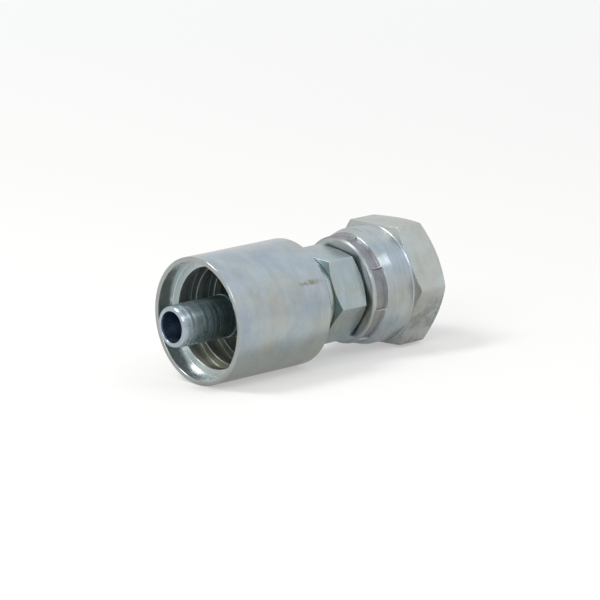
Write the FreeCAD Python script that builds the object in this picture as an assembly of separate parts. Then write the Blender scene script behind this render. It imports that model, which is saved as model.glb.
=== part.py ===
import FreeCAD, Part
import math
import os

# A crimped hose end with a swivel nut, lying along X. Sizes in mm.
# The origin is on the common axis, in the plane of the shell's mouth.
# The hose comes in from -X, and the threaded mouth of the nut faces +X.

# Crimp shell
SHELL_OUTER_RADIUS = 10.0
SHELL_LENGTH = 18.9
SHELL_BACK_WALL = 2.7
SHELL_MOUTH_EDGE = 0.12
SHELL_BACK_EDGE = 0.6
SHELL_BACK_STEPS = 2
COUNTERBORE_WALL = 0.78
COUNTERBORE_DEPTH = 3.0
TOOTH_HEIGHT = 1.17
TOOTH_LAND = 1.4
TOOTH_BACK_SLOPE = 0.7
TOOTH_PITCH = 3.6
TOOTH_COUNT = 4
GROOVE_WALL = 0.85

# Hose nipple of the stem
NIPPLE_RADIUS = 3.3
NIPPLE_STANDOUT = 5.06
NIPPLE_TIP_RADIUS = 3.12
NIPPLE_TIP_TAPER = 1.9
NIPPLE_TIP_EDGE = 0.35
NIPPLE_TIP_STEPS = 2
FLOW_BORE_RADIUS = 2.44
GRIP_GROOVE_DEPTH = 0.12
GRIP_GROOVE_WIDTH = 0.36
GRIP_GROOVE_PITCH = 1.43
GRIP_GROOVE_COUNT = 4
FIRST_GRIP_GROOVE = -2.65

# Lock of the shell on the stem
ROOT_RADIUS = 5.4
ROOT_LENGTH = 2.0
LOCK_RADIUS = 4.6
LOCK_SIDE_GAP = 0.1
LOCK_FIT = 0.03

# Neck and wrench hexagon of the stem
NECK_RADIUS = 6.7
NECK_LENGTH = 3.6
RELIEF_DEPTH = 0.3
RELIEF_WIDTH = 0.35
STEM_HEX_FLATS = 13.6
STEM_HEX_LENGTH = 6.2
STEM_HEX_TURN = -7.7
STEM_HEX_END_SHARE = 0.99
STEM_HEX_CHAMFER = 30.0

# Swivel end of the stem
SWIVEL_NECK_RADIUS = 6.08
FLANGE_RADIUS = 6.9
FLANGE_FACE_FROM_HEX = 6.25
SEAT_RADIUS = 5.7
SEAT_HALF_ANGLE = 45.0

# Swivel nut
NUT_BACK_GAP = 0.25
NUT_LENGTH = 14.3
NUT_HEX_FLATS = 19.05
NUT_HEX_FROM_BACK = 7.78
NUT_HEX_BACK_CHAMFER = 15.0
NUT_HEX_FRONT_CHAMFER = 30.0
NUT_FRONT_FACE_SHARE = 0.955
NUT_BODY_RADIUS = 9.36
NUT_BODY_START = 4.3
SKIRT_RADIUS = 8.66
SKIRT_LENGTH = 1.9
RIM_RADIUS = 8.4
RIM_SLOPE = 0.72
RIM_ROUNDING = 0.62
RIM_STEPS = 3
LIP_RUNNING_FIT = 0.07
LIP_LENGTH = 1.5
LIP_SLOPE = 45.0
LIP_END_FIT = 0.3

# Thread of the nut, bored to its smallest radius
THREAD_INNER_RADIUS = 7.175
THREAD_MOUTH_DEPTH = 0.85
THREAD_START_FROM_FLANGE = 0.25
CHAMBER_RADIUS = 7.5

# Crimp marks that the dies press into the skirt
DIE_COUNT = 8
DIE_START = 30.2
DIE_RIDGE = 2.2
DIE_DEPTH = 0.3
DIE_WIDTH = 1.95
DIE_FROM_BACK = 0.4
DIE_SIDE = 0.16
DIE_SHIFT = 0.22

# Places along the axis that follow from the sizes
SHELL_FLOOR = SHELL_LENGTH - SHELL_BACK_WALL
LOCK_START = SHELL_FLOOR - LOCK_SIDE_GAP
ROOT_START = LOCK_START - ROOT_LENGTH
STEM_HEX_START = SHELL_LENGTH + NECK_LENGTH
STEM_HEX_END = STEM_HEX_START + STEM_HEX_LENGTH
FLANGE_FACE = STEM_HEX_END + FLANGE_FACE_FROM_HEX
NUT_BACK = STEM_HEX_END + NUT_BACK_GAP
NUT_FRONT = NUT_BACK + NUT_LENGTH
LIP_RADIUS = SWIVEL_NECK_RADIUS + LIP_RUNNING_FIT
GROOVE_RADIUS = SHELL_OUTER_RADIUS - GROOVE_WALL
TOOTH_RADIUS = SHELL_OUTER_RADIUS - GROOVE_WALL - TOOTH_HEIGHT

AXIS_START = FreeCAD.Vector(0, 0, 0)
AXIS_WAY = FreeCAD.Vector(1, 0, 0)


def turned(points, sweep=360.0):
    """A solid of revolution about X from a closed outline of (place along X, radius)."""
    corners = [FreeCAD.Vector(x, 0, radius) for x, radius in points]
    corners.append(corners[0])
    face = Part.Face(Part.makePolygon(corners))
    return face.revolve(AXIS_START, AXIS_WAY, sweep)


def round_edge(middle, size, start, end, steps):
    """Outline points of a round edge about its middle. Angle 0 points along +X and 90 outwards."""
    points = []
    for step in range(steps + 1):
        angle = math.radians(start + (end - start) * step / steps)
        points.append((middle[0] + size * math.cos(angle), middle[1] + size * math.sin(angle)))
    return points


def hexagon_bar(flats, start, length, turn):
    """A six-sided bar along X. At turn 0 it has a flat at the top and one at the bottom."""
    corner_radius = flats / math.sqrt(3)
    corners = []
    for step in range(7):
        angle = math.radians(turn + 60 * step)
        across = -corner_radius * math.cos(angle)
        up = corner_radius * math.sin(angle)
        corners.append(FreeCAD.Vector(start, across, up))
    face = Part.Face(Part.makePolygon(corners))
    return face.extrude(FreeCAD.Vector(length, 0, 0))


def chamfered_hexagon(flats, start, length, turn, end_radii, angles):
    """A hexagon whose corners are turned down to a circle at each end."""
    corner_radius = flats / math.sqrt(3)
    first = (corner_radius - end_radii[0]) * math.tan(math.radians(angles[0]))
    last = (corner_radius - end_radii[1]) * math.tan(math.radians(angles[1]))
    end = start + length
    envelope = turned([
        (start, 0),
        (start, end_radii[0]),
        (start + first, corner_radius),
        (end - last, corner_radius),
        (end, end_radii[1]),
        (end, 0),
    ])
    return hexagon_bar(flats, start, length, turn).common(envelope)


def crimp_shell():
    """The turned cup that closes on the hose, with ring teeth inside and a lock hole at the back."""
    counterbore = SHELL_OUTER_RADIUS - COUNTERBORE_WALL
    outline = [
        (SHELL_MOUTH_EDGE, SHELL_OUTER_RADIUS),
        (0, SHELL_OUTER_RADIUS - SHELL_MOUTH_EDGE),
        (0, counterbore),
        (COUNTERBORE_DEPTH, counterbore),
    ]
    for tooth in range(TOOTH_COUNT):
        face = COUNTERBORE_DEPTH + tooth * TOOTH_PITCH
        land_end = face + TOOTH_LAND
        if tooth > 0:
            outline.append((face, GROOVE_RADIUS))
        outline.append((face, TOOTH_RADIUS))
        if tooth < TOOTH_COUNT - 1:
            outline.append((land_end, TOOTH_RADIUS))
            outline.append((land_end + TOOTH_BACK_SLOPE, GROOVE_RADIUS))
    outline.append((SHELL_FLOOR, TOOTH_RADIUS))
    outline.append((SHELL_FLOOR, LOCK_RADIUS + LOCK_FIT))
    outline.append((SHELL_LENGTH, LOCK_RADIUS + LOCK_FIT))
    middle = (SHELL_LENGTH - SHELL_BACK_EDGE, SHELL_OUTER_RADIUS - SHELL_BACK_EDGE)
    outline += round_edge(middle, SHELL_BACK_EDGE, 0, 90, SHELL_BACK_STEPS)
    return turned(outline)


def nipple_outline():
    """The outside of the hose nipple from its tip to its root, with the grip grooves."""
    middle = (NIPPLE_TIP_EDGE - NIPPLE_STANDOUT, NIPPLE_TIP_RADIUS - NIPPLE_TIP_EDGE)
    outline = round_edge(middle, NIPPLE_TIP_EDGE, 180, 90, NIPPLE_TIP_STEPS)
    outline.append((NIPPLE_TIP_TAPER - NIPPLE_STANDOUT, NIPPLE_RADIUS))
    for groove in range(GRIP_GROOVE_COUNT):
        middle = FIRST_GRIP_GROOVE + groove * GRIP_GROOVE_PITCH
        outline.append((middle - GRIP_GROOVE_WIDTH / 2, NIPPLE_RADIUS))
        outline.append((middle, NIPPLE_RADIUS - GRIP_GROOVE_DEPTH))
        outline.append((middle + GRIP_GROOVE_WIDTH / 2, NIPPLE_RADIUS))
    outline.append((ROOT_START, NIPPLE_RADIUS))
    return outline


def hose_stem():
    """One turned piece: nipple, lock groove, neck, wrench hexagon, and the flange with its seat."""
    seat_depth = (SEAT_RADIUS - FLOW_BORE_RADIUS) / math.tan(math.radians(SEAT_HALF_ANGLE))
    slope = math.tan(math.radians(LIP_SLOPE))
    flange_back = NUT_BACK + LIP_LENGTH + LIP_END_FIT
    flange_full = flange_back + (FLANGE_RADIUS - SWIVEL_NECK_RADIUS) * slope
    tip = -NIPPLE_STANDOUT
    relief_radius = NECK_RADIUS - RELIEF_DEPTH
    outline = [(tip, FLOW_BORE_RADIUS)]
    outline += nipple_outline()
    outline += [
        (ROOT_START, ROOT_RADIUS),
        (LOCK_START, ROOT_RADIUS),
        (LOCK_START, LOCK_RADIUS),
        (SHELL_LENGTH, LOCK_RADIUS),
        (SHELL_LENGTH, NECK_RADIUS),
        (STEM_HEX_START - RELIEF_WIDTH, NECK_RADIUS),
        (STEM_HEX_START - RELIEF_WIDTH, relief_radius),
        (STEM_HEX_END, relief_radius),
        (STEM_HEX_END, SWIVEL_NECK_RADIUS),
        (flange_back, SWIVEL_NECK_RADIUS),
        (flange_full, FLANGE_RADIUS),
        (FLANGE_FACE, FLANGE_RADIUS),
        (FLANGE_FACE, SEAT_RADIUS),
        (FLANGE_FACE - seat_depth, FLOW_BORE_RADIUS),
    ]
    end_radius = STEM_HEX_FLATS / 2 * STEM_HEX_END_SHARE
    hexagon = chamfered_hexagon(
        STEM_HEX_FLATS, STEM_HEX_START, STEM_HEX_LENGTH, STEM_HEX_TURN,
        (end_radius, end_radius), (STEM_HEX_CHAMFER, STEM_HEX_CHAMFER),
    )
    flow_bore = Part.makeCylinder(
        FLOW_BORE_RADIUS, STEM_HEX_LENGTH, FreeCAD.Vector(STEM_HEX_START, 0, 0), AXIS_WAY,
    )
    return turned(outline).fuse(hexagon.cut(flow_bore)).removeSplitter()


def nut_inside():
    """The space inside the nut: lip hole, chamber behind the flange, thread and mouth."""
    slope = math.tan(math.radians(LIP_SLOPE))
    lip_end = NUT_BACK + LIP_LENGTH
    chamber_start = lip_end + (CHAMBER_RADIUS - LIP_RADIUS) * slope
    thread_start = FLANGE_FACE + THREAD_START_FROM_FLANGE
    run_in = CHAMBER_RADIUS - THREAD_INNER_RADIUS
    mouth_radius = THREAD_INNER_RADIUS + THREAD_MOUTH_DEPTH
    return turned([
        (NUT_BACK, 0),
        (NUT_BACK, LIP_RADIUS),
        (lip_end, LIP_RADIUS),
        (chamber_start, CHAMBER_RADIUS),
        (thread_start - run_in, CHAMBER_RADIUS),
        (thread_start, THREAD_INNER_RADIUS),
        (NUT_FRONT - THREAD_MOUTH_DEPTH, THREAD_INNER_RADIUS),
        (NUT_FRONT, mouth_radius),
        (NUT_FRONT, 0),
    ])


def die_marks():
    """What the crimping dies press out of the skirt: one shallow track to each die."""
    marks = []
    sweep = 360.0 / DIE_COUNT - DIE_RIDGE
    floor_radius = SKIRT_RADIUS - DIE_DEPTH
    clear_radius = SKIRT_RADIUS + DIE_DEPTH
    side = DIE_SIDE * 2
    for die in range(DIE_COUNT):
        shift = DIE_SHIFT if die % 2 == 0 else 0
        start = NUT_BACK + DIE_FROM_BACK + DIE_SHIFT - shift
        end = start + DIE_WIDTH
        mark = turned([
            (start - side, clear_radius),
            (start, floor_radius),
            (end, floor_radius),
            (end + side, clear_radius),
        ], sweep)
        # the outline starts at the top, a quarter turn past the side that angles count from
        begin = DIE_START + 360.0 / DIE_COUNT * die + DIE_RIDGE / 2
        mark.rotate(AXIS_START, AXIS_WAY, 90.0 - begin - sweep)
        marks.append(mark)
    return marks


def swivel_nut():
    """The nut: crimped skirt, round body, and the hexagon at the threaded end."""
    skirt_end = NUT_BACK + SKIRT_LENGTH
    body_start = NUT_BACK + NUT_BODY_START
    hex_start = NUT_BACK + NUT_HEX_FROM_BACK
    front_radius = NUT_HEX_FLATS / 2 * NUT_FRONT_FACE_SHARE
    rim_slope = math.atan2(SKIRT_RADIUS - RIM_RADIUS, RIM_SLOPE)
    rim_rise = RIM_ROUNDING * (math.tan(rim_slope) - 1 / math.cos(rim_slope))
    rim_middle = (NUT_BACK + RIM_ROUNDING, RIM_RADIUS + rim_rise)
    outline = [(NUT_BACK, 0)]
    outline += round_edge(rim_middle, RIM_ROUNDING, 180, 90 + math.degrees(rim_slope), RIM_STEPS)
    outline += [
        (NUT_BACK + RIM_SLOPE, SKIRT_RADIUS),
        (skirt_end, SKIRT_RADIUS),
        (body_start, NUT_BODY_RADIUS),
        (hex_start, NUT_BODY_RADIUS),
        (hex_start, 0),
    ]
    body = turned(outline)
    hexagon = chamfered_hexagon(
        NUT_HEX_FLATS, hex_start, NUT_FRONT - hex_start, 0.0,
        (NUT_BODY_RADIUS, front_radius), (NUT_HEX_BACK_CHAMFER, NUT_HEX_FRONT_CHAMFER),
    )
    nut = body.fuse(hexagon).removeSplitter()
    nut = nut.cut(die_marks())
    return nut.cut(nut_inside())


def main():
    os.makedirs("parts", exist_ok=True)
    pieces = {
        "crimp_shell": crimp_shell(),
        "hose_stem": hose_stem(),
        "swivel_nut": swivel_nut(),
    }
    for node, shape in pieces.items():
        solid = shape.Solids[0]
        assert len(shape.Solids) == 1 and solid.isValid(), node
        solid.exportStep("parts/" + node + ".step")
        print(node, "volume", round(solid.Volume, 1), "faces", len(solid.Faces))


main()
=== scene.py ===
import math

import bpy
from mathutils import Matrix, Vector


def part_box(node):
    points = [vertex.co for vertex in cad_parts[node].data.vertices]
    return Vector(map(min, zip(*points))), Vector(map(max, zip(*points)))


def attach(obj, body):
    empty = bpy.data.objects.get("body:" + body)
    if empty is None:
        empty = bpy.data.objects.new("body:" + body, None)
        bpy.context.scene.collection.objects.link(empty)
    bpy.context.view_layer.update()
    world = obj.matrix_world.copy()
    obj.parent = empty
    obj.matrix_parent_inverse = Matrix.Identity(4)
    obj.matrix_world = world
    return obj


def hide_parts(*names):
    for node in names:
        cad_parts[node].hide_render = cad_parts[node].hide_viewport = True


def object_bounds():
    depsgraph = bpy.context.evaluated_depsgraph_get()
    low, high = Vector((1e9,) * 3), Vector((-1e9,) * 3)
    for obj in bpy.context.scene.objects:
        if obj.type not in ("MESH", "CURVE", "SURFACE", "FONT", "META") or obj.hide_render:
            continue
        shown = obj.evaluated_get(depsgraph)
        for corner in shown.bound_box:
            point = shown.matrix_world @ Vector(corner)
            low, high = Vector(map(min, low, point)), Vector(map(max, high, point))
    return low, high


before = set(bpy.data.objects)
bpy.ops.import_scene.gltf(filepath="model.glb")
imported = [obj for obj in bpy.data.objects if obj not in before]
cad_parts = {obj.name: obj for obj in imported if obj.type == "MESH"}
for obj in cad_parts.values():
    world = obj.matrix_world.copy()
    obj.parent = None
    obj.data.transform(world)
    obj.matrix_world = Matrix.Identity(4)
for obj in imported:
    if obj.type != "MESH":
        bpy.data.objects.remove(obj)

bl_info = {
    "name": "Swivel hose fitting",
    "version": (1, 0, 0),
    "blender": (4, 5, 0),
    "location": "View3D > Sidebar > Hose fitting",
    "description": "Makes the turned, milled and crimped pieces of a hose end with a swivel nut",
    "category": "Object",
}

# The CAD box and the boxes of its three nodes, which the sizes below start from
CAD_LOW, CAD_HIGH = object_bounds()
_, SHELL_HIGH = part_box("crimp_shell")
STEM_LOW, STEM_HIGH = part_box("hose_stem")
NUT_LOW, NUT_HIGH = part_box("swivel_nut")

MM = 0.001
FULL_TURN = 2 * math.pi
SIXTH = FULL_TURN / 6
WHITE = (1.0, 1.0, 1.0)

# Vertices this near are joined, and a sharper bend than this is shown as an edge
JOIN_DISTANCE = 0.0005 * MM
SHARP_ANGLE = math.radians(38.0)

# A small rounding gets the fewer steps
SMALL_ROUNDING = 0.2 * MM
FEW_STEPS = 3
MORE_STEPS = 5

# Wear across a rounding follows this stretch of a half wave, so the middle is worn most
WEAR_START = 0.15
WEAR_STRETCH = 0.7

# Roundings of the outlines' smaller corners
COLLAR_EDGE = 0.04 * MM
MOUTH_EDGE = 0.08 * MM
FINE_EDGE = 0.1 * MM
BLUNT_EDGE = 0.12 * MM
NECK_EDGE = 0.15 * MM
SOFT_EDGE = 0.2 * MM
HEXAGON_BEND = 0.25 * MM
SKIRT_BEND = 0.5 * MM
SHOULDER_BEND = 1.2 * MM

# How far the corners of the stem's hexagon are turned down, and the plain strip beside a groove
STEM_CORNER_CUT = 0.05 * MM
GROOVE_SIDE = 0.04 * MM

# Where rows are laid closer on an outline: a run near the hexagon that rises by more than this
NEAR_HEXAGON = 0.1 * MM
STEEP_RISE = 0.02 * MM
STEM_CHAMFER_ROWS = 0.09 * MM
NUT_CHAMFER_ROWS = 0.13 * MM
DIE_ROWS = 0.06 * MM
DIE_REACH = 1.5 * MM

# The mill starts and ends this far inside the hexagon
MILL_MARGIN = 0.002 * MM

# A chamfer is turned metal below the flats and below the corners' blunt edge, and on the stem it gets
# painted shade
CHAMFER_SOFTNESS = 0.02 * MM
CORNER_FROM = 0.07 * MM
CORNER_TO = 0.12 * MM

# The die tracks: size of their unevenness, how it breaks up the burr, and the rubbed far rim
DIE_NOISE = 420.0
BURR_FROM = 0.35
BURR_TO = 0.65
RIM_MIDDLE = 0.04 * MM
RIM_FADE = 0.13 * MM

# Noise lies mostly between these two values
NOISE_LOW = 0.3
NOISE_HIGH = 0.7


def length(description, millimetres):
    """A length that the user can change, given in millimetres."""
    return bpy.props.FloatProperty(
        description=description, default=millimetres * MM, min=0.0, precision=5, unit="LENGTH",
    )


def angle(description, degrees):
    """An angle that the user can change, given in degrees."""
    default = math.radians(degrees)
    return bpy.props.FloatProperty(description=description, default=default, subtype="ANGLE")


def share(description, value, most=1.0):
    """A plain number from nothing to a named most."""
    return bpy.props.FloatProperty(description=description, default=value, min=0.0, max=most)


def count(description, value):
    """A whole number of like things."""
    return bpy.props.IntProperty(description=description, default=value, min=1)


def colour(description, value):
    """A surface colour in linear light."""
    return bpy.props.FloatVectorProperty(
        description=description, default=value, subtype="COLOR", size=3, min=0.0, max=1.0,
    )


class ShellSizes(bpy.types.PropertyGroup):
    """Sizes of the crimp shell."""

    radius: length("Outer radius of the shell", round(SHELL_HIGH.z / MM, 2))
    length: length("From the mouth to the back face", SHELL_HIGH.x / MM)
    back_wall: length("Thickness of the wall behind the hose space", 2.7)
    lip_wall: length("Wall around the counterbore at the mouth", 0.78)
    counterbore: length("Depth of the wide part at the mouth", 3.0)
    groove_wall: length("Wall between the grooves and the outside", 0.85)
    tooth_height: length("How far a ring tooth stands out of the wall", 1.17)
    tooth_land: length("Length of the flat top of a tooth", 1.4)
    tooth_slope: length("Length of the slope behind a tooth", 0.7)
    tooth_pitch: length("From one tooth to the next", 3.6)
    teeth: count("Number of ring teeth", 4)
    lock_radius: length("Radius of the hole in the back wall", 4.63)
    mouth_edge: length("Rounding of the two edges of the lip", 0.14)
    back_edge: length("Rounding of the back edge", 0.6)
    tooth_edge: length("Rounding of the teeth", 0.1)
    segments: count("Facets once around the shell", 360)


class StemSizes(bpy.types.PropertyGroup):
    """Sizes of the hose stem."""

    bore: length("Radius of the hole through the stem", 2.44)
    nipple: length("Outer radius of the hose nipple", 3.3)
    tip: length("Outer radius of the nipple at its tip", 3.12)
    tip_taper: length("Length over which the tip widens", 1.9)
    tip_edge: length("Rounding of the tip", 0.34)
    grip_depth: length("Depth of the fine grooves on the nipple", 0.02)
    grip_width: length("Width of the fine grooves", 0.16)
    grip_pitch: length("From one fine groove to the next", 1.43)
    grips: count("Number of fine grooves", 4)
    first_grip: length("From the tip to the first fine groove", 2.41)
    collar_place: length("From the shell's mouth to the fine collar on the nipple", 5.2)
    collar_height: length("How far that collar stands out", 0.1)
    collar_width: length("Length of that collar", 0.3)
    root: length("Radius of the shoulder in front of the lock groove", 5.4)
    root_length: length("Length of that shoulder", 2.0)
    lock: length("Radius of the groove that the shell sits in", 4.6)
    lock_gap: length("From the shoulder to the shell's back wall", 0.1)
    neck: length("Radius of the neck in front of the hexagon", 6.7)
    neck_length: length("Length of that neck", 3.6)
    relief_depth: length("Depth of the groove in front of the hexagon", 0.3)
    relief_width: length("Width of that groove", 0.35)
    flats: length("Wrench size across the flats", 13.6)
    hexagon: length("Length of the stem's hexagon", 6.2)
    hexagon_turn: angle("Turn of the hexagon about the axis", -7.7)
    end_share: share("Radius of the hexagon's faces over its flats", 0.99)
    chamfer: angle("Angle of the hexagon's chamfers", 30.0)
    swivel: length("Radius of the neck that the nut turns on", 6.08)
    flange: length("Radius of the flange that holds the nut", 6.9)
    flange_from_nut: length("From the nut's back face to the flange", 1.8)
    seat: length("Radius of the cone seat at its mouth", 5.7)
    seat_angle: angle("Half angle of the cone seat", 45.0)
    segments: count("Facets once around the stem", 540)


class NutSizes(bpy.types.PropertyGroup):
    """Sizes of the swivel nut."""

    flats: length("Wrench size across the flats", (NUT_HIGH.z - NUT_LOW.z) / MM)
    hexagon_from_back: length("From the back face to the hexagon", 7.78)
    back_chamfer: angle("Angle of the chamfer behind the hexagon", 15.0)
    front_chamfer: angle("Angle of the chamfer at the front", 30.0)
    front_share: share("Radius of the front face over the flats", 0.955)
    body: length("Radius of the round body behind the hexagon", 9.36)
    body_start: length("From the back face to the round body", 4.3)
    skirt: length("Radius of the skirt crimped behind the flange", 8.66)
    skirt_length: length("Length of the skirt", 1.9)
    rim: length("Radius at the back face before rounding", 8.4)
    rim_slope: length("Length of the slope from the rim up to the skirt", 0.72)
    rim_edge: length("Rounding of the back rim", 0.62)
    lip: length("Radius of the hole that turns on the stem", 6.15)
    lip_length: length("Length of that hole", 1.5)
    chamber: length("Radius of the space around the flange", 7.5)
    chamber_end: length("From the front face to the end of the chamber", 8.05)
    mouth: length("Radius of the mouth's cone at its widest", 8.03)
    corner_cut: length("How far the hexagon's corners are turned down", 0.07)
    dies: count("Number of crimp tracks around the skirt", 8)
    die_start: angle("Place of the first ridge, from the side facing -Y", 30.2)
    die_ridge: length("Width of the ridge left between two dies", 0.33)
    die_depth: length("Depth of the tracks below the skirt", 0.3)
    die_from_back: length("From the back face to the first tracks", 0.4)
    die_width: length("Width of the tracks", 1.95)
    die_shift: length("How far every other track is moved", 0.22)
    segments: count("Facets once around the nut", 480)


class ThreadSizes(bpy.types.PropertyGroup):
    """Sizes of the thread inside the nut."""

    pitch: length("From one turn to the next", 1.411)
    outer: length("Radius at the bottom of the thread", 7.9375)
    inner: length("Radius at the top of the thread", 7.175)
    from_front: length("From the front face to the last turn", 7.2)
    run_out: share("Turns over which the ends fade into the wall", 0.35, 2.0)
    segments: count("Facets in one turn of the thread", 160)


class Finish(bpy.types.PropertyGroup):
    """Colours of the plated steel, with painted light and shade among them, and of the stage."""

    shell: colour("Zinc of the crimp shell", (0.39, 0.44, 0.468))
    # Painted shade: the lip round the mouth is darker and warmer, as the shaded floor that it reflects
    lip: colour("Warm grey zinc of the lip round the mouth", (0.35, 0.357, 0.335))
    # Painted light: the counterbore is made bright where light reaches into the mouth
    mouth: colour("Bright zinc of the counterbore", (0.80, 0.89, 0.92))
    # Painted light: the step behind the counterbore is lighter where light falls on it
    step: colour("Zinc of the step behind the counterbore", (0.46, 0.50, 0.495))
    # Painted shade: the hollow between the ring teeth is darkened
    inside: colour("Oily zinc between the ring teeth", (0.17, 0.20, 0.20))
    # The tops of the ring teeth get less of that painted shade
    land: colour("Zinc of the flat tops of the ring teeth", (0.37, 0.41, 0.41))
    # Painted light: the lower inside is lighter and warmer where light comes in through the mouth
    low: colour("Straw-coloured oil low between the ring teeth", (0.42, 0.41, 0.31))
    stem: colour("Bluish zinc of the stem", (0.405, 0.48, 0.50))
    # Painted shade: the nipple darkens the further it goes into the shell
    nipple_shade: colour("Dark oily zinc of the nipple inside the shell", (0.25, 0.33, 0.34))
    # Painted shade: the hexagon's chamfers are darkened, as they reflect the shaded back of the shell
    chamfer: colour("Dark teal zinc of the hexagon's chamfers", (0.13, 0.20, 0.20))
    # Painted shade: the flow bore is darkened, with a blue tint
    bore: colour("Dark blue inside of the flow bore", (0.20, 0.30, 0.46))
    nut: colour("Zinc of the nut", (0.42, 0.455, 0.465))
    # Painted light: the wrench flats are lighter than the turned nut, with a handled warm tint
    milled: colour("Warmer zinc of the nut's wrench flats", (0.50, 0.525, 0.515))
    die: colour("Purple grey where the dies pressed the zinc", (0.235, 0.228, 0.25))
    warm: colour("Olive and straw tint of handled zinc", (0.44, 0.43, 0.35))
    cool: colour("Blue tint of thick zinc", (0.31, 0.40, 0.49))
    # Also used for the painted shade low on the nut's wrench flats
    grime: colour("Dark oil left in corners", (0.10, 0.095, 0.08))
    bright: colour("Metal worn bright on edges and in scratches", (0.62, 0.65, 0.67))
    # Painted shade: the low side of the shell is darker and warmer, as the floor's shadow shows in the
    # metal
    under: colour("Dull warm zinc low on the shell", (0.32, 0.325, 0.275))
    stain: colour("Brown stain on the shell", (0.20, 0.165, 0.09))
    floor: colour("Pale floor", (0.66, 0.65, 0.625))
    sky: colour("Cool white of the surroundings", (0.93, 0.97, 1.0))


class StageSizes(bpy.types.PropertyGroup):
    """Sizes and strengths of the floor and the lamps."""

    floor_reach: length("Half the side of the floor", 3000.0)
    lamp_distance: length("From the object to each soft lamp", 600.0)
    key_width: length("Side of the soft lamp on the left, above", 200.0)
    key_power: share("Power of the key lamp in watts", 1.30, 1000.0)
    side_width: length("Width of the soft lamp on the left, low", 300.0)
    side_height: length("Height of that lamp", 200.0)
    side_power: share("Power of the side lamp in watts", 0.6, 1000.0)
    front_width: length("Width of the soft lamp above the camera", 240.0)
    front_height: length("Height of that lamp", 180.0)
    front_power: share("Power of the front lamp in watts", 0.22, 1000.0)
    sky: share("Light of the white surroundings on the floor", 0.60, 10.0)
    horizon: share("Level of the surroundings low down, where the metal shows them", 0.82)
    horizon_rise: share("Height over distance at which they are fully white", 0.7)
    floor_lift: share("White added to the floor where it is looked at", 0.37)
    floor_shine: share("White added to the floor where a mirror looks at it", 0.245)


def sign(operation, swapped=False):
    """What a sign of arithmetic does between a term and another value."""
    def step(self, other):
        first, second = (other, self) if swapped else (self, other)
        return self.graph.math(operation, first, second)
    return step


class Term:
    """What comes out of a node. Formulas join terms by the usual signs."""

    def __init__(self, graph, socket):
        self.graph = graph
        self.socket = socket

    __add__ = sign("ADD")
    __sub__ = sign("SUBTRACT")
    __rsub__ = sign("SUBTRACT", swapped=True)
    __mul__ = sign("MULTIPLY")
    __truediv__ = sign("DIVIDE")
    __rtruediv__ = sign("DIVIDE", swapped=True)
    __gt__ = sign("GREATER_THAN")
    __lt__ = sign("LESS_THAN")

    def __neg__(self):
        return self * -1.0


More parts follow.
